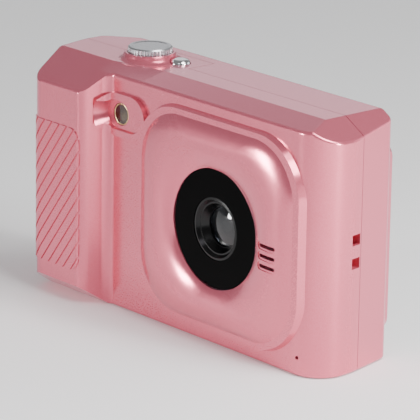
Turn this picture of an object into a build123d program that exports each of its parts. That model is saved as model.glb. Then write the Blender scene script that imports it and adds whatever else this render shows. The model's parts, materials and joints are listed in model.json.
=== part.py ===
"""Kids' compact digital camera: a two-shell body with a side grip, a dished lens bezel and its insides.

Frame: +X to the right as seen from the front, front faces -Y, +Z up, origin under the middle of the body.
"""
import os
from math import atan, cos, degrees, radians, sin

from build123d import *

os.makedirs("parts", exist_ok=True)

# ---------------------------------------------------------------- driving dimensions (mm)
HALF_W = 55.0            # half the body width
TOP = 65.0               # height of the flat top deck
WALL = 2.0               # shell thickness
FRONT_Y = -10.8          # main front face
GRIP_Y = -18.0          # front face of the grip, between its ribs
REAR_Y = 16.8            # rear face beside the screen
PLATEAU_Y = 18.0         # raised screen surround
TAPER_Y, GRIP_LEFT = 3.0, -50.4  # the left side draws in from here to the grip's front corner
SPLIT_Y = 3.85           # parting line between the shells
SEAM = 0.15              # visible gap of the parting line
BASE_ROUND = 0.8
DECK_ROUND = 1.2
SHOULDER_ROUND = 0.8
LENS_X, LENS_Z = 17.5, 31.4
BOSS_Z = 31.9            # middle height of the rounded-square lens boss
PILL_X, PILL_Z = -19.7, 53.0     # flash surround
FLASH_X, FLASH_Z = -21.2, 53.2   # flash window
SHUTTER_X, SHUTTER_Y = -26.7, 3.1
POWER_X, POWER_Y = -17.9, 6.0
KEY_X = -33.2            # column of the rear keys
OK_Z = 29.0              # middle of the five-key cluster

# body outline seen from above: x, y, corner radius, anticlockwise from the front right
OUTLINE = [
    (HALF_W, FRONT_Y, 8.5),
    (HALF_W, 1.0, 25.0),
    (51.4, REAR_Y, 2.6),
    (-46.0, REAR_Y, 6.0),
    (-HALF_W, 9.8, 4.0),
    (-HALF_W, TAPER_Y, 20.0),
    (GRIP_LEFT, GRIP_Y, 5.0),
    (-29.2, GRIP_Y, 3.0),
    (-26.5, FRONT_Y, 3.0),
]


def facing(y):
    """Sketch plane across the camera at depth y: local x is X, local y is Z, extrude goes to the front."""
    return Plane.XZ.offset(-y)


def save(piece, name, place=Location()):
    """Writes a piece, moved to its place in the camera if it was made in a frame of its own."""
    part = place * piece.part
    part.label = name
    export_step(part, f"parts/{name}.step")


def box_between(x0, x1, y0, y1, z0, z1, mode=Mode.ADD):
    """Box given by its limits, for use inside a BuildPart."""
    with Locations(((x0 + x1) / 2, (y0 + y1) / 2, (z0 + z1) / 2)):
        Box(x1 - x0, y1 - y0, z1 - z0, mode=mode)


def disc_along_y(x, z, radius, y_front, y_back, mode=Mode.ADD):
    """Cylinder along Y from y_front back to y_back, for use inside a BuildPart."""
    with BuildSketch(facing(y_back)) as disc:
        with Locations((x, z)):
            Circle(radius)
    extrude(disc.sketch, amount=y_back - y_front, mode=mode)


# ---------------------------------------------------------------- body envelope
def body_block(inset):
    """The whole body as one block, drawn in by inset on every side."""
    with BuildPart() as block:
        with BuildSketch(Plane.XY.offset(inset)) as plan:
            with BuildLine():
                Polyline([(x, y) for x, y, _ in OUTLINE], close=True)
            make_face()
            for x, y, radius in OUTLINE:
                fillet(plan.vertices().sort_by_distance((x, y))[0], radius=radius)
            if inset:
                offset(amount=-inset, mode=Mode.REPLACE)
        extrude(amount=TOP - 2 * inset)
        if not inset:
            fillet(block.faces().sort_by(Axis.Z)[0].edges(), radius=BASE_ROUND)
            fillet(block.faces().sort_by(Axis.Z)[-1].edges(), radius=DECK_ROUND)
        drop = inset * 1.05
        deck = TOP - drop
        # front edge of the deck: a shallow band that narrows towards the grip
        for x_from, x_to, edge_from, edge_to in ((-14, 60, -2.8, -2.8), (-30.6, -14, -6.2, -2.8)):
            for x, edge in ((x_from, edge_from), (x_to, edge_to)):
                with BuildSketch(Plane.YZ.offset(x)):
                    with BuildLine():
                        Polyline(
                            (edge, deck), (FRONT_Y, deck - 1.8), (GRIP_Y, deck - 6.7), (-24, deck - 12),
                            (-24, 75), (edge, 75), close=True,
                        )
                    make_face()
            loft(ruled=True, mode=Mode.SUBTRACT)
        # sloping top of the grip, with a narrow bevel along its front edge
        with BuildSketch(Plane.YZ.offset(-60)):
            with BuildLine():
                Polyline(
                    (-6.2, deck), (-15.8, deck - 5.3), (GRIP_Y, deck - 6.7), (-24, deck - 12),
                    (-24, 75), (-6.2, 75), close=True,
                )
            make_face()
        extrude(amount=60 - 30.6, mode=Mode.SUBTRACT)
        # chamfer on the right-hand end of the deck
        with BuildSketch(facing(30)):
            with BuildLine():
                Polyline((47.5, deck), (62, deck - 8.3), (62, 75), (47.5, 75), close=True)
            make_face()
        extrude(amount=60, mode=Mode.SUBTRACT)
        # underside of the grip rises to the front
        with BuildSketch(Plane.YZ.offset(-60)):
            with BuildLine():
                Polyline((FRONT_Y, drop), (-22, 7.6 + drop), (-22, -2), (FRONT_Y, -2), close=True)
            make_face()
        extrude(amount=60, mode=Mode.SUBTRACT)
    return block.part


def nearest_edge(block, point):
    return min(block.edges(), key=lambda edge: (edge.position_at(0.5) - Vector(*point)).length)


def soften(block):
    """Rounds the shoulder that runs round the deck, and the grip's front rim."""
    shoulder = [
        (16.3, FRONT_Y, 63.2), (-19.2, FRONT_Y, 63.2), (48.5, -10.6, 63.3), (53.6, -6.9, 61.5),
        (HALF_W, -2.1, 60.7), (54.8, 1.0, 60.8), (53.1, 9.3, 61.8),
    ]
    grip_rim = [(-39.1, GRIP_Y, 58.4), (-48.8, -17.4, 58.7), (-51.0, -15.0, 60.2),
                (-51.9, -11.2, 62.2)]
    for chain in (shoulder, grip_rim):
        block = block.fillet(SHOULDER_ROUND, [nearest_edge(block, point) for point in chain])
    return block


def rounded_prism(sections):
    """Solid lofted through rounded rectangles: each is y, middle x, middle z, half width, half height, radius."""
    with BuildPart() as prism:
        for y, x, z, half_w, half_h, radius in sections:
            with BuildSketch(facing(y)):
                with Locations((x, z)):
                    RectangleRounded(2 * half_w, 2 * half_h, radius)
        loft(ruled=len(sections) == 2)
    return prism.part


# ---------------------------------------------------------------- outside shape
LEDGE_Y = -12.3          # flat ledge round the lens pillow
LENS_SEAT_Y = -12.1
SEAT_R = 15.85           # rim of the black lens disc's seat

boss = rounded_prism([
    (-9.4, LENS_X, BOSS_Z, 32.3, 29.3, 16.5),
    (LEDGE_Y, LENS_X, BOSS_Z, 31.2, 28.0, 15.5),
])
# the pillow bulges like half an ellipse round a rounded-square centre line
PILLOW_MID, PILLOW_BULGE = (22.3, 21.0), (7.6, 6.2)      # half width and half height of each
PILLOW_RISE, PILLOW_R = 3.3, 14.5


def pillow_shape(rise):
    sections = []
    for angle in range(-90, 71, 20):
        out = -sin(radians(angle))
        middle_z = LENS_Z + (BOSS_Z - LENS_Z) * (1 + out) / 2
        half_w, half_h = (mid + bulge * out for mid, bulge in zip(PILLOW_MID, PILLOW_BULGE))
        sections.append((FRONT_Y - rise * cos(radians(angle)), LENS_X, middle_z, half_w, half_h, PILLOW_R))
    return rounded_prism(sections)


pillow = pillow_shape(PILLOW_RISE)
# flash surround: a rim that follows the front and the flank of the grip, round a dish with a flat floor
PILL_RISE = 1.2
with BuildPart() as pill:
    add(rounded_prism([(-9.0, PILL_X, PILL_Z, 8.9, 6.1, 6.0), (-17.0, PILL_X, PILL_Z, 8.1, 5.3, 5.2)]))
    add(body_block(-PILL_RISE), mode=Mode.INTERSECT)
pill_dish = rounded_prism([
    (-17.5, PILL_X, PILL_Z, 9.2, 6.2, 6.1),
    (-11.2, PILL_X, PILL_Z, 6.8, 3.7, 3.6),
])
plateau = rounded_prism([
    (14.0, 15.5, 31.3, 36.0, 28.3, 6.5),
    (PLATEAU_Y, 15.5, 31.3, 34.6, 24.6, 3.5),
])

outer = soften(body_block(0))
inner = body_block(WALL)
FRONT_EDGE = SPLIT_Y - SEAM / 2      # where the front shell ends
REAR_EDGE = SPLIT_Y + SEAM / 2       # where the rear shell starts

# part of the deck round the two top buttons, which belongs to the front shell
DECK_TAB = (-37.5, -12.0, 0.0, 12.4, 61.0, 70.0)
with BuildPart() as deck_tab:
    add(outer)
    box_between(*DECK_TAB, mode=Mode.INTERSECT)

# slanting ribs of the grip, which stand out evenly round its front corner
RIB_PITCH, RIB_WIDTH, RIB_RISE, RIB_ANGLE = 4.13, 1.9, 0.3, 53.0
with BuildPart() as ribs:
    with BuildSketch(facing(-9.5)):
        with Locations(*[(-42, 28.5 + RIB_PITCH * step) for step in range(-9, 10)]):
            Rectangle(80, RIB_WIDTH, rotation=RIB_ANGLE)
        with Locations((-48.2, 28.5)):
            RectangleRounded(36, 39, 4, mode=Mode.INTERSECT)
    extrude(amount=12)
    add(body_block(-RIB_RISE), mode=Mode.INTERSECT)
    add(body_block(RIB_RISE), mode=Mode.SUBTRACT)

# ---------------------------------------------------------------- front shell
CARD_X = -35.0
DOOR = (-48.7, -17.4, -9.4, 2.4)     # x of the hinge, x of the free end, y limits
DOOR_GAP = 0.2
DOOR_BARREL_R, DOOR_PIN_R, DOOR_PIN_Z = 1.25, 0.6, 1.45
TRIPOD_Y = -3.0
TRIPOD_BORE_R, TRIPOD_LENGTH = 2.6, 6.4      # tapping size of a 1/4 inch camera thread
POSTS = [(-9.0, 10.5), (44.5, 12.0), (44.5, 55.0), (-5.0, 55.5)]
BOARD_FRONT, BOARD_BACK = 5.0, 6.2
SLOT_X, SLOT_HEIGHTS = 38.9, (32.1, 29.45, 26.8)
MIC_X, MIC_Z = 47.6, 4.8
# charging port, in a frame of its own on the sloping left side: x = 0 is the surface, +x goes inwards
TAPER = (GRIP_LEFT + HALF_W) / (TAPER_Y - GRIP_Y)
PORT_Y, PORT_Z = -3.2, 49.9
PORT_PLACE = Location((-HALF_W + TAPER * (TAPER_Y - PORT_Y), PORT_Y, 0), (0, 0, degrees(atan(TAPER))))
CAP = (3.7, 43.1, 57.3)               # half width and z limits of the port cover
CAP_HINGE = 0.55                      # depth of its hinge line
STRAP_Y = (0.4, 3.4)
STRAP_HOLES = ((27.4, 30.2), (33.5, 36.3))   # z limits
BOTTOM_SCREWS = [(-12.0, 9.5), (44.0, 9.5)]
SIDE_SCREWS = [12.0, 38.0]            # heights on the left side
SIDE_SCREW_Y = 6.6
COLLAR_R, COLLAR_TOP = 6.9, 66.9
BUTTON_HOLE_R, POWER_HOLE_R = 6.15, 2.85

# places where the rear shell has no lip, as box limits
LIP_GAPS = [(x - 4, x + 4, -5, 20, -1, 8) for x, _ in BOTTOM_SCREWS]
LIP_GAPS += [(-60, -45, -5, 20, z - 3.8, z + 3.8) for z in SIDE_SCREWS]
LIP_GAPS += [
    (45, 60, -5, 20, 24.5, 39.0),                                  # strap anchor
    (-60, DOOR[1] + 1, -5, 20, -1, 6),                             # battery door
    (LENS_X - 7, LENS_X + 7, -5, 20, -1, 8),                       # tripod boss
    (-60, -50, -5, 20, 41.5, 60),                                  # port cover
    (DECK_TAB[0] - 1, DECK_TAB[1] + 1, -5, 20, 60, 70),            # button part of the deck
]


def wall_ring(outer_inset, y_front, y_back):
    """Ring inside the shell wall between two depths, broken at LIP_GAPS."""
    with BuildPart() as ring:
        add(body_block(outer_inset))
        add(body_block(WALL), mode=Mode.SUBTRACT)
        box_between(-60, 60, y_front, y_back, -1, 70, mode=Mode.INTERSECT)
        for limits in LIP_GAPS:
            box_between(*limits, mode=Mode.SUBTRACT)
    return ring.part


# shallow pockets round the speaker slots, cut to an even depth in the pillow
with BuildPart() as slot_pockets:
    with BuildSketch(facing(-12.5)):
        with Locations(*[(SLOT_X, height) for height in SLOT_HEIGHTS]):
            SlotOverall(7.2, 2.1)
    extrude(amount=4)
    add(pillow_shape(PILLOW_RISE - 0.25), mode=Mode.SUBTRACT)

with BuildPart() as front_shell:
    add(outer)
    box_between(-60, 60, FRONT_EDGE, 30, -1, 80, mode=Mode.SUBTRACT)
    add(deck_tab.part)
    add(boss)
    add(pillow)
    add(pill.part)
    # collar round the shutter button, flaring into the deck
    with BuildSketch(Plane.XZ.offset(-SHUTTER_Y)):
        with BuildLine():
            Polyline(
                (SHUTTER_X, 62.0), (SHUTTER_X, COLLAR_TOP), (SHUTTER_X + COLLAR_R - 0.3, COLLAR_TOP),
                (SHUTTER_X + COLLAR_R, COLLAR_TOP - 0.3), (SHUTTER_X + COLLAR_R + 0.25, COLLAR_TOP - 1.0),
            )
            ThreePointArc(
                (SHUTTER_X + COLLAR_R + 0.25, COLLAR_TOP - 1.0), (SHUTTER_X + 7.85, 65.25),
                (SHUTTER_X + 9.2, 64.85),
            )
            Polyline((SHUTTER_X + 9.2, 64.85), (SHUTTER_X + 9.2, 62.0), (SHUTTER_X, 62.0))
        make_face()
    revolve(axis=Axis((SHUTTER_X, SHUTTER_Y, 0), (0, 0, 1)))
    add(inner, mode=Mode.SUBTRACT)
    add(wall_ring(1.05, SPLIT_Y - 2.2, FRONT_EDGE), mode=Mode.SUBTRACT)
    add(ribs.part)
    # holes for the two deck buttons
    for x, y, radius in ((SHUTTER_X, SHUTTER_Y, BUTTON_HOLE_R), (POWER_X, POWER_Y, POWER_HOLE_R)):
        with Locations((x, y, 65)):
            Cylinder(radius, 14, mode=Mode.SUBTRACT)
    # hollow behind the pillow, then the seat and the throat of the lens
    with BuildSketch(facing(-8.0)):
        with Locations((LENS_X, BOSS_Z)):
            RectangleRounded(51.6, 44.0, 11)
        with Locations((LENS_X, LENS_Z)):
            Circle(18.4, mode=Mode.SUBTRACT)
    extrude(amount=3.4, mode=Mode.SUBTRACT)
    disc_along_y(LENS_X, LENS_Z, SEAT_R, -20, -10.7, mode=Mode.SUBTRACT)
    disc_along_y(LENS_X, LENS_Z, 12.5, -11, -5, mode=Mode.SUBTRACT)
    # flash surround: dish, window seat and light path
    add(pill_dish, mode=Mode.SUBTRACT)
    disc_along_y(FLASH_X, FLASH_Z, 3.05, -13, -8.0, mode=Mode.SUBTRACT)
    # speaker slots and microphone hole
    with BuildSketch(facing(-8.0)):
        with Locations(*[(SLOT_X, height) for height in SLOT_HEIGHTS]):
            SlotOverall(6.0, 0.95)
    extrude(amount=9, mode=Mode.SUBTRACT)
    add(slot_pockets.part, mode=Mode.SUBTRACT)
    disc_along_y(MIC_X, MIC_Z, 0.5, -12, -8.0, mode=Mode.SUBTRACT)
    # board posts
    for x, z in POSTS:
        disc_along_y(x, z, 2.2, -9.5, BOARD_FRONT - 0.05)
        disc_along_y(x, z, 0.82, -6.0, BOARD_FRONT, mode=Mode.SUBTRACT)
    # tripod boss
    with Locations((LENS_X, TRIPOD_Y, 4.5)):
        Cylinder(6.2, 7)
    with Locations((LENS_X, TRIPOD_Y, 3.2)):
        Cylinder(4.5, 7.2, mode=Mode.SUBTRACT)
    # screw tabs that reach behind the parting line
    for x, y in BOTTOM_SCREWS:
        box_between(x - 3.2, x + 3.2, 0, y + 2.6, 2.15, 6.5)
        box_between(x - 3.2, x + 3.2, 0, FRONT_EDGE, 1.5, 6.5)
        with Locations((x, y, 4)):
            Cylinder(0.82, 8, mode=Mode.SUBTRACT)
    for z in SIDE_SCREWS:
        box_between(-52.2, -48.4, -0.5, SIDE_SCREW_Y + 1.8, z - 3, z + 3)
        box_between(-53.6, -48.4, -0.5, FRONT_EDGE, z - 3, z + 3)
        with Locations((-50, SIDE_SCREW_Y, z)):
            Cylinder(0.82, 8, rotation=(0, 90, 0), mode=Mode.SUBTRACT)
    # strap anchor on the right: a channel behind a bar
    box_between(49.4, 53.6, -0.8, FRONT_EDGE, 25.4, 38.0)
    box_between(50.8, 53.5, *STRAP_Y, STRAP_HOLES[0][0], STRAP_HOLES[1][1], mode=Mode.SUBTRACT)
    for z0, z1 in STRAP_HOLES:
        box_between(53.0, 57.0, *STRAP_Y, z0, z1, mode=Mode.SUBTRACT)
    # battery and card opening in the base, with two ears for the hinge pin
    for y0, y1 in ((-10.7, DOOR[2] - DOOR_GAP), (DOOR[3] + DOOR_GAP, FRONT_EDGE)):
        box_between(DOOR[0] - 1.9, DOOR[0] + 2.0, y0, y1, 1.0, 3.4)
    box_between(DOOR[0] - DOOR_BARREL_R - DOOR_GAP, DOOR[1] + DOOR_GAP, DOOR[2] - DOOR_GAP,
                DOOR[3] + DOOR_GAP, -1, 4, mode=Mode.SUBTRACT)
    disc_along_y(DOOR[0], DOOR_PIN_Z, DOOR_PIN_R + 0.02, -10.3, 3.4, mode=Mode.SUBTRACT)
    # finger notch at the door's free end
    with Locations((DOOR[1] + DOOR_GAP, (DOOR[2] + DOOR[3]) / 2, 0)):
        Cylinder(2.4, 1.0, mode=Mode.SUBTRACT)
    # recess of the port cover and the port itself
    half, z0, z1 = CAP
    with Locations(PORT_PLACE):
        box_between(-1, 1.15, -half - 0.2, half + 0.2, z0 - 0.75, z1 + 0.2, mode=Mode.SUBTRACT)
        box_between(0, 3, -1.9, 1.9, PORT_Z - 4.7, PORT_Z + 4.7, mode=Mode.SUBTRACT)


save(front_shell, "front_shell")

# ---------------------------------------------------------------- rear shell
SCREEN_X, SCREEN_Z = 15.5, 31.3
SCREEN_OPENING = (58.5, 43.5)
WINDOW = (64.0, 47.5, 1.1)
KEY_GAP = 0.15
ROUND_KEYS = {
    "up_button": (KEY_X, OK_Z + 7.8, 2.7),
    "down_button": (KEY_X, OK_Z - 7.8, 2.7),
    "left_button": (KEY_X - 7.8, OK_Z, 2.7),
    "right_button": (KEY_X + 7.8, OK_Z, 2.7),
    "ok_button": (KEY_X, OK_Z, 3.2),
    "mode_button": (KEY_X - 4.8, 46.5, 2.8),
    "play_button": (KEY_X + 4.8, 46.5, 2.8),
    "menu_button": (KEY_X - 4.8, 11.8, 2.8),
    "delete_button": (KEY_X + 4.8, 11.8, 2.8),
}
LONG_KEYS = {
    "zoom_out_button": (KEY_X - 4.8, 55.0),
    "zoom_in_button": (KEY_X + 4.8, 55.0),
}
LONG_KEY = (7.4, 4.6)
LAMP_X, LAMP_Z = KEY_X, 41.6

with BuildPart() as rear_shell:
    add(outer)
    box_between(-60, 60, -30, REAR_EDGE, -1, 80, mode=Mode.SUBTRACT)
    add(plateau)
    add(inner, mode=Mode.SUBTRACT)
    x0, x1, _, y1, z0, z1 = DECK_TAB
    box_between(x0 - SEAM, x1 + SEAM, -1, y1 + SEAM, z0, z1, mode=Mode.SUBTRACT)
    add(wall_ring(1.15, SPLIT_Y - 2.0, REAR_EDGE + 0.5))
    # screen opening and the seat of its window
    with BuildSketch(facing(13.0)):
        with Locations((SCREEN_X, SCREEN_Z)):
            Rectangle(*SCREEN_OPENING)
    extrude(amount=-8, mode=Mode.SUBTRACT)
    with BuildSketch(facing(PLATEAU_Y - WINDOW[2] - 0.05)):
        with Locations((SCREEN_X, SCREEN_Z)):
            RectangleRounded(WINDOW[0] + 0.2, WINDOW[1] + 0.2, 2.1)
    extrude(amount=-5, mode=Mode.SUBTRACT)
    # key holes
    with BuildSketch(facing(13.0)):
        for x, z, radius in ROUND_KEYS.values():
            with Locations((x, z)):
                Circle(radius + KEY_GAP)
        for x, z in LONG_KEYS.values():
            with Locations((x, z)):
                RectangleRounded(LONG_KEY[0] + 2 * KEY_GAP, LONG_KEY[1] + 2 * KEY_GAP, LONG_KEY[1] / 2)
        with Locations((LAMP_X, LAMP_Z)):
            Circle(0.95)
    extrude(amount=-5, mode=Mode.SUBTRACT)
    # screw holes with sunk heads
    for x, y in BOTTOM_SCREWS:
        with Locations((x, y, 1)):
            Cylinder(0.95, 4, mode=Mode.SUBTRACT)
        with Locations((x, y, 0)):
            Cylinder(1.75, 2.4, mode=Mode.SUBTRACT)
    for z in SIDE_SCREWS:
        with Locations((-54, SIDE_SCREW_Y, z)):
            Cylinder(0.95, 6, rotation=(0, 90, 0), mode=Mode.SUBTRACT)
        with Locations((-55, SIDE_SCREW_Y, z)):
            Cylinder(1.75, 2.4, rotation=(0, 90, 0), mode=Mode.SUBTRACT)

save(rear_shell, "rear_shell")

# ---------------------------------------------------------------- lens and image sensor
with BuildPart() as lens_panel:
    disc_along_y(LENS_X, LENS_Z, SEAT_R - 0.1, LENS_SEAT_Y, -10.75)
    fillet(lens_panel.faces().sort_by(Axis.Y)[0].edges(), radius=0.25)
    disc_along_y(LENS_X, LENS_Z, 8.3, -13, -10, mode=Mode.SUBTRACT)
    # pry notch in the lower edge
    disc_along_y(LENS_X - 3.2, LENS_Z - 15.4, 0.65, -13, -10, mode=Mode.SUBTRACT)
save(lens_panel, "lens_panel")


def turned(points, x=LENS_X, z=LENS_Z):
    """Solid turned about the lens axis (or a parallel one) from (radius, y) points."""
    with BuildPart() as piece:
        with BuildSketch(Plane.XY.offset(z)):
            with BuildLine():
                Polyline([(x + radius, y) for radius, y in points], close=True)
            make_face()
        revolve(axis=Axis((x, 0, z), (0, 1, 0)))
    return piece


lens_ring = turned([
    (8.2, -11.95), (7.6, -12.05), (7.3, -11.7), (6.9, -11.2), (6.5, -11.2), (5.35, -9.35), (10.5, -9.35),
    (10.5, -10.65), (8.2, -10.65),
])
save(lens_ring, "lens_ring")

lens_barrel = turned([
    (7.5, -9.3), (7.5, -0.6), (4.6, -0.6), (4.6, -3.0), (3.7, -3.0), (3.7, -6.0), (4.4, -6.4), (4.4, -8.1),
    (5.3, -8.1), (5.3, -9.3),
])
save(lens_barrel, "lens_barrel")

with BuildPart() as front_lens:
    with BuildSketch(Plane.XY.offset(LENS_Z)):
        with BuildLine():
            ThreePointArc((LENS_X, -9.75), (LENS_X + 2.6, -9.55), (LENS_X + 5.2, -8.95))
            Polyline((LENS_X + 5.2, -8.95), (LENS_X + 5.2, -8.15), (LENS_X, -8.15), (LENS_X, -9.75))
        make_face()
    revolve(axis=Axis((LENS_X, 0, LENS_Z), (0, 1, 0)))
save(front_lens, "front_lens")

aperture_ring = turned([(4.35, -8.0), (4.35, -7.4), (1.4, -7.4), (1.4, -7.6), (3.4, -8.0)])
save(aperture_ring, "aperture_ring")

with BuildPart() as rear_lens:
    with BuildSketch(Plane.XY.offset(LENS_Z)):
        with BuildLine():
            ThreePointArc((LENS_X, -2.1), (LENS_X + 2.4, -1.9), (LENS_X + 4.55, -1.35))
            Polyline((LENS_X + 4.55, -1.35), (LENS_X + 4.55, -2.95), (LENS_X, -2.95), (LENS_X, -2.1))
        make_face()
    revolve(axis=Axis((LENS_X, 0, LENS_Z), (0, 1, 0)))
save(rear_lens, "rear_lens")

with BuildPart() as sensor_holder:
    box_between(LENS_X - 8.5, LENS_X + 8.5, -0.5, 2.7, LENS_Z - 8.5, LENS_Z + 8.5)
    fillet(sensor_holder.edges().filter_by(Axis.Y), radius=1.2)
    box_between(LENS_X - 4.2, LENS_X + 4.2, 0.4, 3, LENS_Z - 4.2, LENS_Z + 4.2, mode=Mode.SUBTRACT)
    disc_along_y(LENS_X, LENS_Z, 3.4, -1, 1, mode=Mode.SUBTRACT)
save(sensor_holder, "sensor_holder")

with BuildPart() as ir_filter:
    box_between(LENS_X - 4.1, LENS_X + 4.1, 0.45, 0.8, LENS_Z - 4.1, LENS_Z + 4.1)
save(ir_filter, "ir_filter")

with BuildPart() as image_sensor:
    box_between(LENS_X - 3.4, LENS_X + 3.4, 1.9, 2.72, LENS_Z - 3.0, LENS_Z + 3.0)
save(image_sensor, "image_sensor")

with BuildPart() as sensor_board:
    box_between(LENS_X - 8.4, LENS_X + 8.4, 2.75, 3.45, LENS_Z - 8.4, LENS_Z + 8.4)
save(sensor_board, "sensor_board")

# ---------------------------------------------------------------- flash
with BuildPart() as flash_window:
    disc_along_y(FLASH_X, FLASH_Z, 2.98, -11.05, -10.05)
    fillet(flash_window.faces().sort_by(Axis.Y)[0].edges(), radius=0.2)
save(flash_window, "flash_window")

flash_reflector = turned(
    [(4.6, -8.7), (4.6, -8.1), (2.7, -6.2), (2.0, -6.2), (2.9, -8.7)], x=FLASH_X, z=FLASH_Z)
save(flash_reflector, "flash_reflector")

with BuildPart() as flash_led:
    box_between(FLASH_X - 1.3, FLASH_X + 1.3, -6.75, -6.05, FLASH_Z - 1.3, FLASH_Z + 1.3)
save(flash_led, "flash_led")

with BuildPart() as flash_board:
    box_between(FLASH_X - 7.5, FLASH_X + 7.5, -6.0, -5.2, FLASH_Z - 5.0, FLASH_Z + 4.6)
save(flash_board, "flash_board")

# ---------------------------------------------------------------- sound
with BuildPart() as speaker:
    disc_along_y(SLOT_X, SLOT_HEIGHTS[1], 7.2, -7.9, -6.2)
    disc_along_y(SLOT_X, SLOT_HEIGHTS[1], 5.2, -6.2, -4.5)
    disc_along_y(SLOT_X, SLOT_HEIGHTS[1], 5.9, -9.0, -7.6, mode=Mode.SUBTRACT)
save(speaker, "speaker")

with BuildPart() as speaker_gasket:
    disc_along_y(SLOT_X, SLOT_HEIGHTS[1], 7.1, -8.75, -7.95)
    disc_along_y(SLOT_X, SLOT_HEIGHTS[1], 6.0, -12, -7, mode=Mode.SUBTRACT)
save(speaker_gasket, "speaker_gasket")

with BuildPart() as microphone:
    disc_along_y(MIC_X, MIC_Z, 2.0, -7.9, -6.4)
    disc_along_y(MIC_X, MIC_Z, 0.5, -8, -7.4, mode=Mode.SUBTRACT)
save(microphone, "microphone")

# ---------------------------------------------------------------- boards
with BuildPart() as main_board:
    box_between(-13.5, 48.5, BOARD_FRONT, BOARD_BACK, 7.0, 58.4)
    fillet(main_board.edges().filter_by(Axis.Y), radius=1.5)
    for x, z in POSTS:
        disc_along_y(x, z, 1.0, 4, 7, mode=Mode.SUBTRACT)
save(main_board, "main_board")

CHIPS = [   # x, z, width, height, thickness on the back of the main board
    (8.0, 38.0, 13.0, 13.0, 1.2), (26.0, 38.0, 9.0, 12.0, 1.0), (8.0, 20.0, 6.0, 5.0, 0.9),
    (24.0, 18.0, 5.0, 6.0, 1.4), (36.0, 22.0, 8.0, 5.0, 1.1),
]
with BuildPart() as main_chips:
    for x, z, width, height, thickness in CHIPS:
        box_between(x - width / 2, x + width / 2, BOARD_BACK, BOARD_BACK + thickness,
                    z - height / 2, z + height / 2)
save(main_chips, "main_chips")

with BuildPart() as board_screws:
    for x, z in POSTS:
        disc_along_y(x, z, 0.8, -3.5, BOARD_BACK)
        disc_along_y(x, z, 1.7, BOARD_BACK, BOARD_BACK + 1.1)
        with Locations((x, BOARD_BACK + 1.1, z)):
            Box(0.5, 0.9, 2.0, mode=Mode.SUBTRACT)
            Box(2.0, 0.9, 0.5, mode=Mode.SUBTRACT)
save(board_screws, "board_screws")

DECK_BOARD_TOP = 59.6
with BuildPart() as deck_board:
    box_between(-36.0, -11.5, -3.8, 10.0, DECK_BOARD_TOP - 1.0, DECK_BOARD_TOP)
save(deck_board, "deck_board")

KEY_BOARD_Y = (10.2, 11.2)
with BuildPart() as key_board:
    box_between(-44.8, -21.6, *KEY_BOARD_Y, 6.5, 60.0)
    fillet(key_board.edges().filter_by(Axis.Y), radius=1.5)
save(key_board, "key_board")

# ---------------------------------------------------------------- rear keys and their switches
KEY_TRAVEL = 0.3
SWITCH_Y = (11.2, 12.3, 12.7)         # base front, base back, plunger tip
KEY_STEM_Y = SWITCH_Y[2] + KEY_TRAVEL + 0.1
KEY_FLANGE_Y = (13.7, 14.6)
KEY_TOP_Y = 17.6


def finish_key(key, x, z):
    """Rounds the cap of a key and gives it the stem that meets its switch."""
    fillet(key.faces().sort_by(Axis.Y)[-1].edges(), radius=0.45)
    disc_along_y(x, z, 1.1, KEY_STEM_Y, KEY_FLANGE_Y[0])


for name, (x, z, radius) in ROUND_KEYS.items():
    with BuildPart() as key:
        disc_along_y(x, z, radius + 0.6, *KEY_FLANGE_Y)
        disc_along_y(x, z, radius, KEY_FLANGE_Y[1], KEY_TOP_Y)
        finish_key(key, x, z)
    save(key, name)

for name, (x, z) in LONG_KEYS.items():
    with BuildPart() as key:
        for width, height, y_front, y_back in (
            (LONG_KEY[0] + 1.0, LONG_KEY[1] + 1.0, *KEY_FLANGE_Y),
            (*LONG_KEY, KEY_FLANGE_Y[1], KEY_TOP_Y),
        ):
            with BuildSketch(facing(y_back)):
                with Locations((x, z)):
                    RectangleRounded(width, height, height / 2 - 0.01)
            extrude(amount=y_back - y_front)
        finish_key(key, x, z)
    save(key, name)

with BuildPart() as key_switches:
    spots = [(x, z) for x, z, _ in ROUND_KEYS.values()] + list(LONG_KEYS.values())
    for x, z in spots:
        box_between(x - 2.2, x + 2.2, SWITCH_Y[0], SWITCH_Y[1], z - 2.2, z + 2.2)
        disc_along_y(x, z, 1.2, SWITCH_Y[1], SWITCH_Y[2])
save(key_switches, "key_switches")

with BuildPart() as status_lamp:
    disc_along_y(LAMP_X, LAMP_Z, 1.5, SWITCH_Y[0], 12.6)
    disc_along_y(LAMP_X, LAMP_Z, 0.85, 12.6, REAR_Y + 0.1)
save(status_lamp, "status_lamp")

# ---------------------------------------------------------------- screen
with BuildPart() as screen_window:
    with BuildSketch(facing(PLATEAU_Y - 0.05)):
        with Locations((SCREEN_X, SCREEN_Z)):
            RectangleRounded(WINDOW[0], WINDOW[1], 2.0)
    extrude(amount=WINDOW[2])
save(screen_window, "screen_window")

with BuildPart() as screen_gasket:
    box_between(SCREEN_X - 31.5, SCREEN_X + 31.5, 14.55, 14.75, SCREEN_Z - 23.5, SCREEN_Z + 23.5)
    box_between(SCREEN_X - 29.5, SCREEN_X + 29.5, 14, 15, SCREEN_Z - 22, SCREEN_Z + 22, mode=Mode.SUBTRACT)
save(screen_gasket, "screen_gasket")

with BuildPart() as screen_panel:
    box_between(SCREEN_X - 31.4, SCREEN_X + 31.4, 12.35, 14.5, SCREEN_Z - 23.4, SCREEN_Z + 23.4)
save(screen_panel, "screen_panel")

with BuildPart() as screen_tray:
    box_between(SCREEN_X - 32.8, SCREEN_X + 32.8, 10.4, 14.4, SCREEN_Z - 24.8, SCREEN_Z + 24.8)
    box_between(SCREEN_X - 31.6, SCREEN_X + 31.6, 12.3, 15, SCREEN_Z - 23.6, SCREEN_Z + 23.6,
                mode=Mode.SUBTRACT)
save(screen_tray, "screen_tray")

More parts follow.
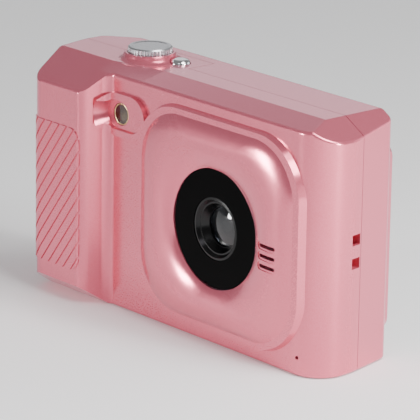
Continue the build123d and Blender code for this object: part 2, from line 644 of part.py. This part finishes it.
# ---------------------------------------------------------------- deck buttons
SHUTTER_TRAVEL = 0.8
SHUTTER_TOP, SHUTTER_R = 68.5, 5.9
FLANGE_Z = (61.9, 62.5)
KNURL_TEETH = 40

with BuildPart() as shutter_button:
    with BuildSketch(Plane.XZ.offset(-SHUTTER_Y)):
        with BuildLine():
            Polyline(
                (SHUTTER_X, FLANGE_Z[0]), (SHUTTER_X + SHUTTER_R - 0.1, FLANGE_Z[0]),
                (SHUTTER_X + SHUTTER_R - 0.1, 66.6), (SHUTTER_X + SHUTTER_R, 66.7),
                (SHUTTER_X + SHUTTER_R, 68.1), (SHUTTER_X + SHUTTER_R - 0.35, SHUTTER_TOP),
                (SHUTTER_X + 4.9, SHUTTER_TOP), (SHUTTER_X + 4.5, SHUTTER_TOP - 0.15),
                (SHUTTER_X, SHUTTER_TOP - 0.15), close=True,
            )
        make_face()
    revolve(axis=Axis((SHUTTER_X, SHUTTER_Y, 0), (0, 0, 1)))
    with Locations((SHUTTER_X, SHUTTER_Y, 0)):
        with PolarLocations(SHUTTER_R + 0.05, KNURL_TEETH):
            with Locations((0, 0, 67.45)):
                Box(0.42, 0.42, 1.4, rotation=(0, 0, 45), mode=Mode.SUBTRACT)
    # two lugs keep it under the deck
    box_between(SHUTTER_X - 2, SHUTTER_X + 2, SHUTTER_Y - 6.9, SHUTTER_Y + 6.9, *FLANGE_Z)
save(shutter_button, "shutter_button")

with BuildPart() as shutter_spring:
    with BuildLine() as coil:
        Helix(pitch=0.72, height=1.8, radius=5.1, center=(SHUTTER_X, SHUTTER_Y, DECK_BOARD_TOP + 0.28))
    with BuildSketch(Plane(origin=coil.line @ 0, z_dir=coil.line % 0)):
        Circle(0.24)
    sweep(is_frenet=True)
save(shutter_spring, "shutter_spring")

with BuildPart() as deck_switches:
    for x, y, half in ((SHUTTER_X, SHUTTER_Y, 2.9), (POWER_X, POWER_Y, 2.1)):
        box_between(x - half, x + half, y - half, y + half, DECK_BOARD_TOP, DECK_BOARD_TOP + 0.9)
        with Locations((x, y, DECK_BOARD_TOP + 1.05)):
            Cylinder(1.5, 0.5)
save(deck_switches, "deck_switches")

POWER_TRAVEL = 0.5
POWER_TOP, POWER_R = 66.1, 2.7
with BuildPart() as power_button:
    with BuildSketch(Plane.XY.offset(FLANGE_Z[0])):
        with Locations((POWER_X, POWER_Y)):
            Circle(POWER_R)
    extrude(amount=POWER_TOP - FLANGE_Z[0])
    fillet(power_button.faces().sort_by(Axis.Z)[-1].edges(), radius=1.2)
    box_between(POWER_X - 1.3, POWER_X + 1.3, POWER_Y - 3.5, POWER_Y + 3.5, *FLANGE_Z)
save(power_button, "power_button")

# ---------------------------------------------------------------- battery bay
BATTERY = (-49.1, -17.6, -8.0, -2.0, 3.4, 42.9)
with BuildPart() as battery:
    box_between(*BATTERY)
    fillet(battery.edges().filter_by(Axis.Z), radius=1.5)
save(battery, "battery")

with BuildPart() as battery_holder:
    x0, x1, y0, y1, _, _ = BATTERY
    box_between(x0 - 1.0, x1 + 1.0, y0 - 0.6, y1 + 0.7, 3.1, 44.8)
    box_between(x0 - 0.2, x1 + 0.2, y0 - 0.15, y1 + 0.15, 2.0, 44.0, mode=Mode.SUBTRACT)
save(battery_holder, "battery_holder")

with BuildPart() as battery_contacts:
    for step in range(3):
        x = BATTERY[0] + 4 + 4 * step
        box_between(x - 1, x + 1, -6.2, -3.8, 43.75, 44.0)
        with BuildSketch(Plane.XZ.offset(5.0)):
            with BuildLine():
                ThreePointArc((x - 1, 43.75), (x, 42.98), (x + 1, 43.75))
                Line((x + 1, 43.75), (x - 1, 43.75))
            make_face()
        extrude(amount=-1.6)
save(battery_contacts, "battery_contacts")

with BuildPart() as card_board:
    box_between(-44.0, -22.0, 1.1, 1.9, 4.2, 26.0)
save(card_board, "card_board")

with BuildPart() as card_socket:
    box_between(CARD_X - 6.4, CARD_X + 6.4, -0.9, 1.05, 5.0, 19.6)
    box_between(CARD_X - 5.6, CARD_X + 5.6, -0.6, 0.5, 4.0, 18.4, mode=Mode.SUBTRACT)
save(card_socket, "card_socket")

with BuildPart() as memory_card:
    box_between(CARD_X - 5.5, CARD_X + 5.5, -0.5, 0.35, 3.3, 18.3)
    chamfer(memory_card.edges().filter_by(Axis.Y).group_by(Axis.Z)[-1], length=1.2)
save(memory_card, "memory_card")

with BuildPart() as battery_door:
    box_between(DOOR[0], DOOR[1], DOOR[2], DOOR[3], 0.1, 1.7)
    fillet(battery_door.edges().filter_by(Axis.Y).group_by(Axis.X)[-1], radius=0.4)
    disc_along_y(DOOR[0], DOOR_PIN_Z, DOOR_BARREL_R, DOOR[2], DOOR[3])
    disc_along_y(DOOR[0], DOOR_PIN_Z, DOOR_PIN_R + 0.06, DOOR[2] - 1, DOOR[3] + 1, mode=Mode.SUBTRACT)
    # snap nib at the free end
    box_between(DOOR[1] - 1.6, DOOR[1] - 0.6, -5.0, -2.0, 1.6, 2.6)
save(battery_door, "battery_door")

with BuildPart() as door_pin:
    disc_along_y(DOOR[0], DOOR_PIN_Z, DOOR_PIN_R, -10.25, 3.35)
save(door_pin, "door_pin")

# ---------------------------------------------------------------- charging port on the left side
with BuildPart() as port_board:
    box_between(2.6, 15.0, 1.75, 2.55, 45.3, 57.0)
save(port_board, "port_board", PORT_PLACE)

with BuildPart() as port_socket:
    box_between(2.3, 9.6, -1.6, 1.7, PORT_Z - 4.4, PORT_Z + 4.4)
    fillet(port_socket.edges().filter_by(Axis.X), radius=1.4)
    box_between(1, 8.6, -1.2, 1.3, PORT_Z - 4.0, PORT_Z + 4.0, mode=Mode.SUBTRACT)
    box_between(3.1, 8.6, -0.3, 0.4, PORT_Z - 3.2, PORT_Z + 3.2)
save(port_socket, "port_socket", PORT_PLACE)

with BuildPart() as port_cover:
    half, z0, z1 = CAP
    box_between(0, 1.0, -half, half, z0, z1)
    fillet(port_cover.edges().filter_by(Axis.X).group_by(Axis.Z)[-1], radius=1.5)
    with Locations((CAP_HINGE, 0, z0)):
        Cylinder(0.55, 2 * half, rotation=(90, 0, 0))
    box_between(0.9, 1.9, -1.2, 1.2, PORT_Z - 4.0, PORT_Z + 4.0)
save(port_cover, "port_cover", PORT_PLACE)

# ---------------------------------------------------------------- tripod socket and case screws
with BuildPart() as tripod_socket:
    with Locations((LENS_X, TRIPOD_Y, 0.2 + TRIPOD_LENGTH / 2)):
        Cylinder(4.48, TRIPOD_LENGTH)
        Cylinder(TRIPOD_BORE_R, TRIPOD_LENGTH, mode=Mode.SUBTRACT)
save(tripod_socket, "tripod_socket")

with BuildPart() as case_screws:
    for x, y in BOTTOM_SCREWS:
        with Locations((x, y, 3.4)):
            Cylinder(0.8, 5.4)
        with Locations((x, y, 0.75)):
            Cylinder(1.6, 0.8)
            Box(0.5, 2.0, 0.9, mode=Mode.SUBTRACT)
            Box(2.0, 0.5, 0.9, mode=Mode.SUBTRACT)
    for z in SIDE_SCREWS:
        with Locations((-51.6, SIDE_SCREW_Y, z)):
            Cylinder(0.8, 5.4, rotation=(0, 90, 0))
        with Locations((-54.25, SIDE_SCREW_Y, z)):
            Cylinder(1.6, 0.8, rotation=(0, 90, 0))
            Box(0.9, 2.0, 0.5, mode=Mode.SUBTRACT)
            Box(0.9, 0.5, 2.0, mode=Mode.SUBTRACT)
save(case_screws, "case_screws")
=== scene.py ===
"""Looks of the kids' camera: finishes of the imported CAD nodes, small added pieces, light and camera.

Everything is in metres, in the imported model's frame: +X right seen from the front, front faces -Y, +Z up.
"""

import json
from math import cos, pi, radians, sin

import bmesh
import bpy
from mathutils import Matrix, Vector


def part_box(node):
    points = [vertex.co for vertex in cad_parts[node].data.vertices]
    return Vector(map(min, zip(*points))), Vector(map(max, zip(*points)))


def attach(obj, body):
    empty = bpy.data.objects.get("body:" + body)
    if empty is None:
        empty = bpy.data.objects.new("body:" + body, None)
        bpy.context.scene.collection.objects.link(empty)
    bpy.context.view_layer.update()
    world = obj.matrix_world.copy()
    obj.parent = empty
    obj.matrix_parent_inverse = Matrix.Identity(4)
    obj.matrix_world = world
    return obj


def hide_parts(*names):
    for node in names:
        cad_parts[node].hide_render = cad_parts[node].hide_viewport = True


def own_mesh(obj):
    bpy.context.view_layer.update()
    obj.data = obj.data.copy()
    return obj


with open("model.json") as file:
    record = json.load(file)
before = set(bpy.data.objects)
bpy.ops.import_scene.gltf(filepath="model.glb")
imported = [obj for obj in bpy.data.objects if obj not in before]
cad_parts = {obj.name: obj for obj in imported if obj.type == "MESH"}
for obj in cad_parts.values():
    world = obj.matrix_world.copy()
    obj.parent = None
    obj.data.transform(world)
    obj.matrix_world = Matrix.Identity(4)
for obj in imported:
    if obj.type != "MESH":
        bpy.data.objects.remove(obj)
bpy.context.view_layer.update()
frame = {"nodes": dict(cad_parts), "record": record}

MM = 0.001
BODY = "camera_body"


def middle(node):
    low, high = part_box(node)
    return (low + high) / 2


# ---------------------------------------------------------------- materials
class Finish:
    """A material with a Principled shader, and short ways to add procedural detail to it."""

    def __init__(self, name, **values):
        self.material = bpy.data.materials.new(name)
        self.material.use_nodes = True
        self.nodes = self.material.node_tree.nodes
        self.links = self.material.node_tree.links
        self.shader = self.nodes["Principled BSDF"]
        for key, value in values.items():
            self.shader.inputs[key.replace("_", " ")].default_value = value
        self.place = self.nodes.new("ShaderNodeTexCoord").outputs["Object"]
        self.height = None

    def node(self, kind, **settings):
        made = self.nodes.new("ShaderNode" + kind)
        for key, value in settings.items():
            if key in made.inputs:
                made.inputs[key].default_value = value
            else:
                setattr(made, key, value)
        return made

    def join(self, output, made, key):
        self.links.new(output, made.inputs[key])
        return made

    def noise(self, period, detail=2.0, rough=0.5):
        """Noise whose features are about one period across, in metres."""
        made = self.node("TexNoise", Scale=1 / period, Detail=detail, Roughness=rough)
        return self.join(self.place, made, "Vector").outputs["Fac"]

    def cells(self, period, output="Color"):
        """Small cells, each with its own random value."""
        made = self.node("TexVoronoi", Scale=1 / period)
        return self.join(self.place, made, "Vector").outputs[output]

    def remap(self, output, low, high, start=0.0, end=1.0):
        made = self.node("MapRange")
        self.join(output, made, "Value")
        for key, value in (("From Min", start), ("From Max", end), ("To Min", low), ("To Max", high)):
            made.inputs[key].default_value = value
        return made.outputs["Result"]

    def tint(self, output, first, second, start=0.0, end=1.0):
        """Colour that goes from first to second as the value goes from start to end."""
        ramp = self.node("ValToRGB")
        self.join(output, ramp, "Fac")
        ramp.color_ramp.elements[0].position = start
        ramp.color_ramp.elements[1].position = end
        ramp.color_ramp.elements[0].color = (*first, 1)
        ramp.color_ramp.elements[1].color = (*second, 1)
        return ramp.outputs["Color"]

    def colour(self, output):
        self.links.new(output, self.shader.inputs["Base Color"])
        return self

    def rough(self, output, low, high, start=0.0, end=1.0):
        self.links.new(self.remap(output, low, high, start, end), self.shader.inputs["Roughness"])
        return self

    def bump(self, output, depth, strength=1.0):
        """Adds relief of this depth in metres; several calls stack."""
        made = self.node("Bump", Strength=strength, Distance=depth)
        self.join(output, made, "Height")
        if self.height:
            self.links.new(self.height, made.inputs["Normal"])
        self.height = made.outputs["Normal"]
        self.links.new(self.height, self.shader.inputs["Normal"])
        return self


def pearl_paint(name, light, dark, stipple=0.0):
    """Pearl lacquer over plastic: fine flakes, a faint orange peel and a clear coat."""
    paint = Finish(name, Metallic=0.72, Coat_Weight=0.35, Coat_Roughness=0.1, Coat_IOR=1.45,
                   Sheen_Weight=0.15, Sheen_Roughness=0.4, Sheen_Tint=(0.86, 0.72, 0.95, 1))
    flake = paint.cells(0.11 * MM)
    paint.colour(paint.tint(flake, dark, light, 0.1, 0.9))
    paint.rough(paint.noise(0.6 * MM, 3.0), 0.17, 0.22, 0.3, 0.7)
    paint.bump(paint.noise(1.3 * MM, 1.0), 0.004 * MM, 0.5)
    if stipple:
        paint.bump(paint.cells(stipple, "Distance"), 0.05 * MM)
    else:
        paint.bump(paint.noise(0.12 * MM, 1.0), 0.002 * MM, 0.4)
    return paint.material


def moulded(name, colour, rough, grain=0.18 * MM, depth=0.006 * MM, coat=0.0, vary=0.25, gloss=0.5):
    """Moulded plastic or rubber with a fine spark-eroded grain."""
    plastic = Finish(name, Specular_IOR_Level=gloss, Coat_Weight=coat, Coat_Roughness=0.05)
    darker = [part * (1 - vary) for part in colour]
    plastic.colour(plastic.tint(plastic.noise(4 * MM, 4.0), darker, colour, 0.3, 0.7))
    plastic.rough(plastic.noise(0.8 * MM, 3.0), rough * 0.85, min(rough * 1.15, 1), 0.3, 0.7)
    plastic.bump(plastic.noise(grain, 2.0), depth, 0.6)
    return plastic.material


def metal(name, colour, rough, brush=None, vary=0.12):
    """Metal with faint stains, and brush lines stretched along one axis if brush names it."""
    made = Finish(name, Metallic=1.0)
    darker = [part * (1 - vary) for part in colour]
    if brush is None:
        lines = made.noise(0.5 * MM, 4.0)
    else:
        scale = [1 / (0.12 * MM)] * 3
        scale[brush] = 1 / (6 * MM)
        mapping = made.join(made.place, made.node("Mapping", Scale=scale), "Vector")
        grain = made.node("TexNoise", Scale=1.0, Detail=3.0)
        lines = made.join(mapping.outputs["Vector"], grain, "Vector").outputs["Fac"]
    made.colour(made.tint(lines, darker, colour, 0.3, 0.7))
    made.rough(lines, rough * 0.8, rough * 1.2, 0.3, 0.7)
    made.bump(lines, 0.004 * MM, 0.4)
    return made.material


def glass(name, colour, rough=0.02, clear=1.0, ior=1.5, ripple=None):
    """Moulded or polished glass, with smudges in its gloss."""
    made = Finish(name, Base_Color=(*colour, 1), Transmission_Weight=clear, IOR=ior, Coat_Weight=0.3,
                  Coat_Roughness=0.02)
    made.rough(made.noise(5 * MM, 4.0), rough, rough * 1.8 + 0.01, 0.35, 0.75)
    if ripple:
        made.bump(made.noise(ripple, 1.0), 0.01 * MM, 0.5)
    return made.material


def board_material():
    """Green solder mask with darker copper tracks under it."""
    made = Finish("circuit_board", Coat_Weight=0.4, Coat_Roughness=0.2, Roughness=0.5)
    tracks = made.node("TexBrick", Scale=1 / (3.2 * MM))
    tracks.inputs["Color1"].default_value = (0.012, 0.12, 0.045, 1)
    tracks.inputs["Color2"].default_value = (0.02, 0.17, 0.07, 1)
    tracks.inputs["Mortar"].default_value = (0.05, 0.30, 0.10, 1)
    tracks.inputs["Mortar Size"].default_value = 0.03
    turned = made.join(made.place, made.node("Mapping", Rotation=(pi / 2, 0, 0)), "Vector")
    made.join(turned.outputs["Vector"], tracks, "Vector")
    made.colour(tracks.outputs["Color"])
    made.bump(tracks.outputs["Fac"], 0.02 * MM, 0.5)
    return made.material


def cloth_material():
    """Woven dust cloth, as two crossed waves."""
    made = Finish("dust_cloth", Roughness=0.9)
    threads = []
    for direction in ("X", "Z"):
        wave = made.node("TexWave", Scale=1 / (1.6 * MM), bands_direction=direction)
        threads.append(made.join(made.place, wave, "Vector").outputs["Fac"])
    both = made.node("Math", operation="MULTIPLY")
    for index, thread in enumerate(threads):
        made.links.new(thread, both.inputs[index])
    made.colour(made.tint(both.outputs[0], (0.006, 0.006, 0.007), (0.05, 0.045, 0.045)))
    made.bump(both.outputs[0], 0.05 * MM)
    return made.material


def disc_gloss(name, lens_x, lens_z):
    """Gloss black moulding with the faint turning marks of its mould."""
    made = Finish(name, Specular_IOR_Level=0.03)
    shifted = made.join(made.place, made.node("Mapping", Location=(-lens_x, 0, -lens_z)), "Vector")
    rings = made.node("TexWave", wave_type="RINGS", rings_direction="Y", Scale=1 / (3 * MM), Distortion=0.4)
    rings = made.join(shifted.outputs["Vector"], rings, "Vector").outputs["Fac"]
    made.colour(made.tint(made.noise(6 * MM, 3.0), (0.0003, 0.0003, 0.0003), (0.0008, 0.0007, 0.0008)))
    made.rough(rings, 0.10, 0.16)
    made.bump(rings, 0.0006 * MM, 0.5)
    return made.material


PINK_LIGHT, PINK_DARK = (0.80, 0.19, 0.265), (0.68, 0.125, 0.18)
lens_x, _, lens_z = middle("lens_panel")

FINISHES = {
    "shell_paint": pearl_paint("shell_paint", PINK_LIGHT, PINK_DARK),
    "key_plastic": pearl_paint("key_plastic", PINK_LIGHT, PINK_DARK),
    "gloss_black": disc_gloss("gloss_black", lens_x, lens_z),
    "satin_black": moulded("satin_black", (0.002, 0.002, 0.0022), 0.22, gloss=0.25),
    "matte_black": moulded("matte_black", (0.004, 0.004, 0.0045), 0.5, gloss=0.2),
    "lens_glass": glass("lens_glass", (0.07, 0.08, 0.10)),
    "filter_glass": glass("filter_glass", (0.45, 0.85, 0.88)),
    "sensor_silicon": moulded("sensor_silicon", (0.10, 0.08, 0.18), 0.2, coat=0.6),
    "circuit_board": board_material(),
    "clear_window": glass("clear_window", (0.42, 0.36, 0.30), 0.06, ripple=0.5 * MM),
    "reflector_chrome": metal("reflector_chrome", (0.85, 0.80, 0.70), 0.12),
    "led_yellow": moulded("led_yellow", (0.85, 0.62, 0.08), 0.4),
    "speaker_metal": metal("speaker_metal", (0.5, 0.5, 0.51), 0.35),
    "foam": moulded("foam", (0.02, 0.02, 0.02), 0.95, grain=0.3 * MM, depth=0.08 * MM),
    "chip_black": moulded("chip_black", (0.02, 0.02, 0.021), 0.6),
    "screw_steel": metal("screw_steel", (0.34, 0.34, 0.35), 0.3),
    "switch_metal": metal("switch_metal", (0.6, 0.6, 0.62), 0.25),
    "lamp_diffuser": moulded("lamp_diffuser", (0.78, 0.78, 0.72), 0.3),
    "screen_glass": glass("screen_glass", (0.06, 0.06, 0.066), 0.0),
    "screen_black": moulded("screen_black", (0.001, 0.0012, 0.0018), 0.3, grain=1 * MM, depth=0.0005 * MM,
                            gloss=0.15),
    "screen_steel": metal("screen_steel", (0.52, 0.52, 0.54), 0.3, brush=0),
    "brushed_silver": metal("brushed_silver", (0.62, 0.62, 0.64), 0.3, brush=0),
    "spring_steel": metal("spring_steel", (0.55, 0.55, 0.56), 0.25),
    "chrome": metal("chrome", (0.78, 0.78, 0.79), 0.1),
    "battery_wrap": moulded("battery_wrap", (0.05, 0.07, 0.11), 0.4),
    "contact_gold": metal("contact_gold", (0.80, 0.55, 0.17), 0.22),
    "card_black": moulded("card_black", (0.02, 0.02, 0.022), 0.4),
    "brass_insert": metal("brass_insert", (0.66, 0.47, 0.20), 0.3),
}
for part in frame["record"]["subparts"]:
    mesh = frame["nodes"][part["node"]].data
    mesh.materials.clear()
    mesh.materials.append(FINISHES[part["material_slot"]])

# ---------------------------------------------------------------- added pieces
def piece(name, mesh, material, body):
    """Links a mesh as a piece that rides on a CAD body."""
    mesh.materials.append(material)
    made = bpy.data.objects.new(name, mesh)
    bpy.context.scene.collection.objects.link(made)
    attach(made, body)
    return made


def bridge(form, first, second):
    """Band of faces between two closed rows of vertices."""
    for index in range(len(first)):
        after = (index + 1) % len(first)
        form.faces.new((first[index], first[after], second[after], second[index]))


def as_mesh(form, name, smooth=False):
    """Mesh from a bmesh, with its faces turned outwards; smooth shades its four-sided faces smooth."""
    bmesh.ops.recalc_face_normals(form, faces=form.faces)
    for face in form.faces:
        face.smooth = smooth and len(face.verts) == 4
    mesh = bpy.data.meshes.new(name)
    form.to_mesh(mesh)
    form.free()
    return mesh


SHOULDER_SHARE, BEVEL_SHARE = 0.6, 0.04      # where a raised shape's bevel starts, and how far it draws in


def plates(name, outlines, spot, right, up, thickness, material, body):
    """Thin raised shapes with a small bevel: outlines in millimetres on the plane through spot."""
    right, up = Vector(right), Vector(up)
    normal = right.cross(up)
    form = bmesh.new()
    for outline in outlines:
        base = [Vector(spot) + (right * x + up * z) * MM for x, z in outline]
        inside = sum(base, Vector()) / len(base)
        rim = [form.verts.new(point) for point in base]
        shoulder = [form.verts.new(point + normal * thickness * SHOULDER_SHARE) for point in base]
        crown = [form.verts.new(point.lerp(inside, BEVEL_SHARE) + normal * thickness) for point in base]
        bridge(form, rim, shoulder)
        bridge(form, shoulder, crown)
        form.faces.new(crown)
        form.faces.new(list(reversed(rim)))
    return piece(name, as_mesh(form, name), material, body)


def turned_ring(name, profile, spot, material, body, steps=64):
    """Ring turned about an axis along Y through spot; profile is (radius, y) in metres."""
    form = bmesh.new()
    loops = []
    for step in range(steps):
        angle = 2 * pi * step / steps
        loops.append([form.verts.new((spot[0] + radius * cos(angle), y, spot[2] + radius * sin(angle)))
                      for radius, y in profile])
    for step in range(steps):
        bridge(form, loops[step], loops[(step + 1) % steps])
    return piece(name, as_mesh(form, name, smooth=True), material, body)


def arc(radius, start, end, steps=20, middle_at=(0, 0)):
    """Points along an arc, with its angles in degrees."""
    angles = [radians(start + (end - start) * step / steps) for step in range(steps + 1)]
    return [(middle_at[0] + radius * cos(angle), middle_at[1] + radius * sin(angle)) for angle in angles]


def band(radius, width, start, end, middle_at=(0, 0)):
    """Part of a flat ring."""
    return arc(radius, start, end, 28, middle_at) + arc(radius - width, end, start, 28, middle_at)


def bar(x0, x1, z0, z1):
    """Upright rectangle given by its limits."""
    return [(x0, z0), (x1, z0), (x1, z1), (x0, z1)]


def turn(outline, quarter):
    """The outline turned by quarter turns."""
    for _ in range(quarter):
        outline = [(-z, x) for x, z in outline]
    return outline


CHEVRON = [(-0.9, -0.35), (0, 0.55), (0.9, -0.35), (0.9, 0.1), (0, 1.0), (-0.9, 0.1)]
PLUS = [(-0.6, -0.15), (-0.15, -0.15), (-0.15, -0.6), (0.15, -0.6), (0.15, -0.15), (0.6, -0.15), (0.6, 0.15),
        (0.15, 0.15), (0.15, 0.6), (-0.15, 0.6), (-0.15, 0.15), (-0.6, 0.15)]
LOUPE = [band(1.15, 0.25, 0, 350), [(0.8, -1.05), (1.05, -0.8), (1.75, -1.5), (1.5, -1.75)]]
# left and right in the node names are as seen from the front, so their arrows are swapped on the back
KEY_MARKS = {
    "up_button": [CHEVRON],
    "left_button": [turn(CHEVRON, 3)],
    "down_button": [turn(CHEVRON, 2)],
    "right_button": [turn(CHEVRON, 1)],
    "ok_button": [band(1.1, 0.3, 0, 355)],
    "mode_button": [band(1.3, 0.28, 30, 330), bar(0.75, 1.55, -0.15, 0.15)],
    "play_button": [[(-0.75, -1.05), (1.15, 0), (-0.75, 1.05)]],
    "menu_button": [bar(-1.1, 1.1, z - 0.15, z + 0.15) for z in (-0.75, 0, 0.75)],
    "delete_button": [[(-0.65, -1.15), (0.65, -1.15), (0.85, 0.5), (-0.85, 0.5)], bar(-1.1, 1.1, 0.7, 0.95),
                      bar(-0.35, 0.35, 1.05, 1.25)],
    "zoom_in_button": LOUPE + [PLUS],
    "zoom_out_button": LOUPE + [bar(-0.6, 0.6, -0.15, 0.15)],
}
BACK_RIGHT, UP = (-1, 0, 0), (0, 0, 1)       # right and up for someone looking at the back
MARK_DEPTH, MARK_SINK = 0.05 * MM, 0.01 * MM
ink = moulded("key_print", (0.80, 0.80, 0.78), 0.45, grain=0.1 * MM, depth=0.002 * MM)
for key, outlines in KEY_MARKS.items():
    low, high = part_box(key)
    spot = ((low.x + high.x) / 2, high.y - MARK_SINK, (low.z + high.z) / 2)
    name = key.replace("_button", "") + "_mark"
    plates(name, outlines, spot, BACK_RIGHT, UP, MARK_DEPTH, ink, key)

# printed black border inside the screen window, near its inner face
MASK_SINK, MASK_DEPTH = 0.9 * MM, 0.05 * MM
low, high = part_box("screen_window")
spot = Vector(((low.x + high.x) / 2, high.y - MASK_SINK, (low.z + high.z) / 2))
edge_x, edge_z, gap_x, gap_z = 31.7, 23.4, 27.6, 20.8       # half sizes of border and opening, in mm
mask_bars = [bar(-edge_x, edge_x, gap_z, edge_z), bar(-edge_x, edge_x, -edge_z, -gap_z),
             bar(-edge_x, -gap_x, -gap_z, gap_z), bar(gap_x, edge_x, -gap_z, gap_z)]
mask_print = moulded("mask_print", (0.001, 0.001, 0.001), 0.35, depth=0.0005 * MM, gloss=0.15)
plates("screen_mask", mask_bars, spot, BACK_RIGHT, UP, MASK_DEPTH, mask_print, BODY)

# dust cloth behind the speaker slots
low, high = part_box("speaker_gasket")
CLOTH_R, CLOTH_SINK, CLOTH_DEPTH = 5.8, 0.5 * MM, 0.15 * MM
spot = ((low.x + high.x) / 2, high.y - CLOTH_SINK, (low.z + high.z) / 2)
plates("speaker_cloth", [arc(CLOTH_R, 0, 350, 35)], spot, (1, 0, 0), UP, CLOTH_DEPTH, cloth_material(), BODY)


def coil_spring(name, spot, bottom, top, radius, wire, turns, steps=36, sides=10):
    """Round wire wound about Z, with its first and last stretch lying flat."""
    flat = 0.06                  # share of the wire at each end that lies flat
    form = bmesh.new()
    loops = []
    total = int(turns * steps)
    for step in range(total + 1):
        angle = 2 * pi * step / steps
        share = min(max((step / total - flat) / (1 - 2 * flat), 0), 1)
        height = bottom + wire + (top - bottom - 2 * wire) * share
        out = Vector((cos(angle), sin(angle), 0))
        centre = Vector((spot[0], spot[1], height)) + out * radius
        loops.append([])
        for side in range(sides):
            round_angle = 2 * pi * side / sides
            outwards = out * cos(round_angle) + Vector(UP) * sin(round_angle)
            loops[-1].append(form.verts.new(centre + outwards * wire))
    for here, there in zip(loops, loops[1:]):
        bridge(form, here, there)
    form.faces.new(loops[0])
    form.faces.new(list(reversed(loops[-1])))
    return piece(name, as_mesh(form, name, smooth=True), FINISHES["spring_steel"], BODY)


# coil spring under the shutter button, wound from its seat up to just under the button; in the camera it
# shortens as the button goes down
COIL_R, COIL_WIRE, COIL_TURNS, COIL_GAP = 5.1 * MM, 0.23 * MM, 2.5, 0.02 * MM
low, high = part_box("shutter_spring")
spring_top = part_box("shutter_button")[0].z - COIL_GAP
spot = ((low.x + high.x) / 2, (low.y + high.y) / 2, 0)
spring = coil_spring("shutter_coil", spot, low.z, spring_top, COIL_R, COIL_WIRE, COIL_TURNS)
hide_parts("shutter_spring")
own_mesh(spring)

# thin metal rim round the flash window
low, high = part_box("flash_window")
spot = Vector(((low.x + high.x) / 2, low.y, (low.z + high.z) / 2))
rim_profile = [(2.93, 0.02), (2.9, -0.06), (2.62, -0.06), (2.55, 0.02)]     # radius and depth in mm
rim_profile = [(radius * MM, low.y + depth * MM) for radius, depth in rim_profile]
gold = metal("flash_rim", (0.72, 0.52, 0.26), 0.25)
turned_ring("flash_rim", rim_profile, spot, gold, BODY)

# moulded arrow on the underside of the battery door
low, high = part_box("battery_door")
ARROW_INSET, ARROW_BASE, ARROW_DEPTH = 8 * MM, 0.11 * MM, 0.09 * MM
spot = (high.x - ARROW_INSET, (low.y + high.y) / 2, ARROW_BASE)
arrow = [(-3.2, -0.45), (0.3, -0.45), (0.3, -1.5), (2.6, 0), (0.3, 1.5), (0.3, 0.45), (-3.2, 0.45)]
plates("door_arrow", [arrow], spot, (1, 0, 0), (0, -1, 0), ARROW_DEPTH, FINISHES["key_plastic"],
       "battery_door")

# ---------------------------------------------------------------- stage, lights and camera
floor_mesh = bpy.data.meshes.new("floor")
half = 3.0
corners = [(x, y, 0) for x, y in bar(-half, half, -half, half)]
floor_mesh.from_pydata(corners, [], [(0, 1, 2, 3)])
floor = bpy.data.objects.new("floor", floor_mesh)
bpy.context.scene.collection.objects.link(floor)
floor.location.z = -0.0002
sweep = moulded("floor", (0.90, 0.90, 0.90), 0.7, grain=2 * MM, vary=0.02)
sweep_shader = sweep.node_tree.nodes["Principled BSDF"]
sweep_shader.inputs["Emission Color"].default_value = (1, 1, 1, 1)
sweep_shader.inputs["Emission Strength"].default_value = 0.12
floor_mesh.materials.append(sweep)

world = bpy.data.worlds.new("studio")
bpy.context.scene.world = world
world.use_nodes = True
background = world.node_tree.nodes["Background"]
background.inputs["Color"].default_value = (1, 1, 1, 1)
background.inputs["Strength"].default_value = 0.28

LIT_POINT = Vector((0, 0, 0.03))
POOL_HEIGHT = 0.3


def softbox(name, azimuth, elevation, distance, width, height, power, colour=(1, 1, 1)):
    """Area light that faces the camera body; azimuth 0 is in front (-Y), and 90 is to its right (+X)."""
    light = bpy.data.lights.new(name, "AREA")
    light.shape = "RECTANGLE"
    light.size, light.size_y = width, height
    light.energy = power
    light.color = colour
    lamp = bpy.data.objects.new(name, light)
    bpy.context.scene.collection.objects.link(lamp)
    az, el = radians(azimuth), radians(elevation)
    away = Vector((sin(az) * cos(el), -cos(az) * cos(el), sin(el)))
    lamp.location = LIT_POINT + away * distance
    lamp.rotation_euler = away.to_track_quat("Z", "Y").to_euler()
    return lamp


softbox("key_box", -29, 3, 0.9, 0.13, 0.25, 6.5)
softbox("side_box", 101, 1, 0.9, 0.11, 0.5, 13.0)
softbox("top_box", 110, 62, 1.0, 0.45, 0.45, 5.0)
softbox("deck_box", -131, 22, 1.0, 0.7, 0.3, 0.6, (0.95, 0.96, 1.0))
softbox("back_box", 160, 10, 1.0, 0.6, 0.6, 2.0, (0.92, 0.93, 1.0))


def pool(name, x, y, size, power, colour=(1, 1, 1)):
    """Softbox over the floor that faces straight down, so that the camera's low faces mirror a lit floor."""
    lamp = softbox(name, 0, 0, 1, size, size, power, colour)
    lamp.location = (x, y, POOL_HEIGHT)
    lamp.rotation_euler = (0, 0, 0)


pool("right_pool", 0.28, 0.0, 0.2, 1.9)
pool("front_pool", 0.17, -0.27, 0.14, 0.25, (0.93, 0.90, 1))

camera_data = bpy.data.cameras.new("camera")
camera_data.sensor_width = 36
camera_data.lens = 280.1
camera = bpy.data.objects.new("camera", camera_data)
bpy.context.scene.collection.objects.link(camera)
across = Vector((0.6561, 0.7545, 0.0156)).normalized()
back = Vector((0.7201, -0.6321, 0.2862)).normalized()
up = back.cross(across).normalized()
across = up.cross(back)
place = Matrix((across, up, back)).transposed().to_4x4()
place.translation = Vector((0.6123, -0.5360, 0.2732))
camera.matrix_world = place
camera_data.clip_start = 0.05
bpy.context.scene.camera = camera
